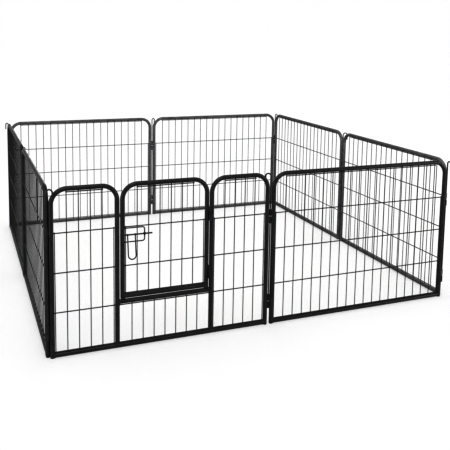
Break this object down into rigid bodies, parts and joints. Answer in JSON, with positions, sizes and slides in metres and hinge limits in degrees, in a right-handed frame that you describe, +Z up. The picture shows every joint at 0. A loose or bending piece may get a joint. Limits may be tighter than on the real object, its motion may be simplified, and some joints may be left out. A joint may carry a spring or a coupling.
{
  "type": "pet playpen",
  "caption": "Square ring of hinged tube-and-wire panels that pens in a small pet, with lift-out hinge pins and a swinging door held by a slide latch.",
  "frame": {"origin": "centre of the ring on the floor, under the middle of the square", "axes": "+Z up from the floor; +Y from the side with the door panel to the side across the pen; +X to the right seen from outside that side"},
  "size_m": [1.6563, 1.6621, 0.585],
  "materials": {
    "frame_tube": "satin black powder coat",
    "mesh_wire": "satin black powder coat",
    "hinge_sleeve": "satin black powder coat over weld",
    "pin_rod": "semi-gloss black coat",
    "latch_rod": "satin black powder coat"
  },
  "bodies": {
    "front_left_panel": {"door_panel_left_arch": "frame_tube", "door_panel_right_arch": "frame_tube", "door_panel_bottom_rail": "frame_tube", "door_panel_cross_rail": "frame_tube", "door_panel_left_mesh": "mesh_wire", "door_panel_right_mesh": "mesh_wire", "door_panel_lower_mesh": "mesh_wire", "door_panel_hinge_sleeves": "hinge_sleeve", "door_panel_door_knuckles": "hinge_sleeve", "door_hinge_pins": "pin_rod"},
    "door": {"door_frame": "frame_tube", "door_bottom_rail": "frame_tube", "door_mesh": "mesh_wire", "door_knuckles": "hinge_sleeve", "latch_bracket": "latch_rod"},
    "latch_bolt": {"latch_bolt": "latch_rod"},
    "latch_handle": {"latch_handle": "latch_rod"},
    "front_right_panel": {"front_right_frame": "frame_tube", "front_right_bottom_rail": "frame_tube", "front_right_mesh": "mesh_wire", "front_right_hinge_sleeves": "hinge_sleeve"},
    "right_front_panel": {"right_front_frame": "frame_tube", "right_front_bottom_rail": "frame_tube", "right_front_mesh": "mesh_wire", "right_front_hinge_sleeves": "hinge_sleeve"},
    "right_back_panel": {"right_back_frame": "frame_tube", "right_back_bottom_rail": "frame_tube", "right_back_mesh": "mesh_wire", "right_back_hinge_sleeves": "hinge_sleeve"},
    "back_right_panel": {"back_right_frame": "frame_tube", "back_right_bottom_rail": "frame_tube", "back_right_mesh": "mesh_wire", "back_right_hinge_sleeves": "hinge_sleeve"},
    "back_left_panel": {"back_left_frame": "frame_tube", "back_left_bottom_rail": "frame_tube", "back_left_mesh": "mesh_wire", "back_left_hinge_sleeves": "hinge_sleeve"},
    "left_back_panel": {"left_back_frame": "frame_tube", "left_back_bottom_rail": "frame_tube", "left_back_mesh": "mesh_wire", "left_back_hinge_sleeves": "hinge_sleeve"},
    "left_front_panel": {"left_front_frame": "frame_tube", "left_front_bottom_rail": "frame_tube", "left_front_mesh": "mesh_wire", "left_front_hinge_sleeves": "hinge_sleeve"},
    "front_left_corner_pin": {"front_left_corner_pin": "pin_rod"},
    "front_middle_pin": {"front_middle_pin": "pin_rod"},
    "front_right_corner_pin": {"front_right_corner_pin": "pin_rod"},
    "right_middle_pin": {"right_middle_pin": "pin_rod"},
    "back_right_corner_pin": {"back_right_corner_pin": "pin_rod"},
    "back_middle_pin": {"back_middle_pin": "pin_rod"},
    "back_left_corner_pin": {"back_left_corner_pin": "pin_rod"},
    "left_middle_pin": {"left_middle_pin": "pin_rod"}
  },
  "joints": [
    {"name": "front_middle_hinge", "type": "hinge", "parent": "front_left_panel", "child": "front_right_panel", "pos_m": [0, -0.81, 0], "axis": [0, 0, 1], "range_deg": [-10, 100]},
    {"name": "front_right_corner_hinge", "type": "hinge", "parent": "front_right_panel", "child": "right_front_panel", "pos_m": [0.81, -0.81, 0], "axis": [0, 0, 1], "range_deg": [-100, 10]},
    {"name": "right_middle_hinge", "type": "hinge", "parent": "right_front_panel", "child": "right_back_panel", "pos_m": [0.81, 0, 0], "axis": [0, 0, 1], "range_deg": [-10, 100]},
    {"name": "back_right_corner_hinge", "type": "hinge", "parent": "right_back_panel", "child": "back_right_panel", "pos_m": [0.81, 0.81, 0], "axis": [0, 0, 1], "range_deg": [-100, 10]},
    {"name": "back_middle_hinge", "type": "hinge", "parent": "back_right_panel", "child": "back_left_panel", "pos_m": [0, 0.81, 0], "axis": [0, 0, 1], "range_deg": [-10, 100]},
    {"name": "back_left_corner_hinge", "type": "hinge", "parent": "back_left_panel", "child": "left_back_panel", "pos_m": [-0.81, 0.81, 0], "axis": [0, 0, 1], "range_deg": [-100, 10]},
    {"name": "left_middle_hinge", "type": "hinge", "parent": "left_back_panel", "child": "left_front_panel", "pos_m": [-0.81, 0, 0], "axis": [0, 0, 1], "range_deg": [-10, 100]},
    {"name": "door_hinge", "type": "hinge", "parent": "front_left_panel", "child": "door", "pos_m": [-0.24225, -0.8188, 0], "axis": [0, 0, 1], "range_deg": [0, 165]},
    {"name": "latch_bolt_slide", "type": "slide", "parent": "door", "child": "latch_bolt", "axis": [1, 0, 0], "range_m": [-0.006, 0.014]},
    {"name": "latch_handle_turn", "type": "hinge", "parent": "latch_bolt", "child": "latch_handle", "pos_m": [-0.5415, -0.8126, 0.4], "axis": [-1, 0, 0], "range_deg": [0, 150]},
    {"name": "front_left_corner_pin_lift", "type": "slide", "parent": "front_left_panel", "child": "front_left_corner_pin", "axis": [0, 0, 1], "range_m": [0, 0.4]},
    {"name": "front_middle_pin_lift", "type": "slide", "parent": "front_left_panel", "child": "front_middle_pin", "axis": [0, 0, 1], "range_m": [0, 0.4]},
    {"name": "front_right_corner_pin_lift", "type": "slide", "parent": "front_right_panel", "child": "front_right_corner_pin", "axis": [0, 0, 1], "range_m": [0, 0.4]},
    {"name": "right_middle_pin_lift", "type": "slide", "parent": "right_front_panel", "child": "right_middle_pin", "axis": [0, 0, 1], "range_m": [0, 0.4]},
    {"name": "back_right_corner_pin_lift", "type": "slide", "parent": "right_back_panel", "child": "back_right_corner_pin", "axis": [0, 0, 1], "range_m": [0, 0.4]},
    {"name": "back_middle_pin_lift", "type": "slide", "parent": "back_right_panel", "child": "back_middle_pin", "axis": [0, 0, 1], "range_m": [0, 0.4]},
    {"name": "back_left_corner_pin_lift", "type": "slide", "parent": "back_left_panel", "child": "back_left_corner_pin", "axis": [0, 0, 1], "range_m": [0, 0.4]},
    {"name": "left_middle_pin_lift", "type": "slide", "parent": "left_back_panel", "child": "left_middle_pin", "axis": [0, 0, 1], "range_m": [0, 0.4]}
  ],
  "couplings": [
    {"joint": "front_right_corner_hinge", "follows": "front_middle_hinge", "ratio": -1},
    {"joint": "right_middle_hinge", "follows": "front_middle_hinge", "ratio": 1},
    {"joint": "back_right_corner_hinge", "follows": "front_middle_hinge", "ratio": -1},
    {"joint": "back_middle_hinge", "follows": "front_middle_hinge", "ratio": 1},
    {"joint": "back_left_corner_hinge", "follows": "front_middle_hinge", "ratio": -1},
    {"joint": "left_middle_hinge", "follows": "front_middle_hinge", "ratio": 1}
  ]
}
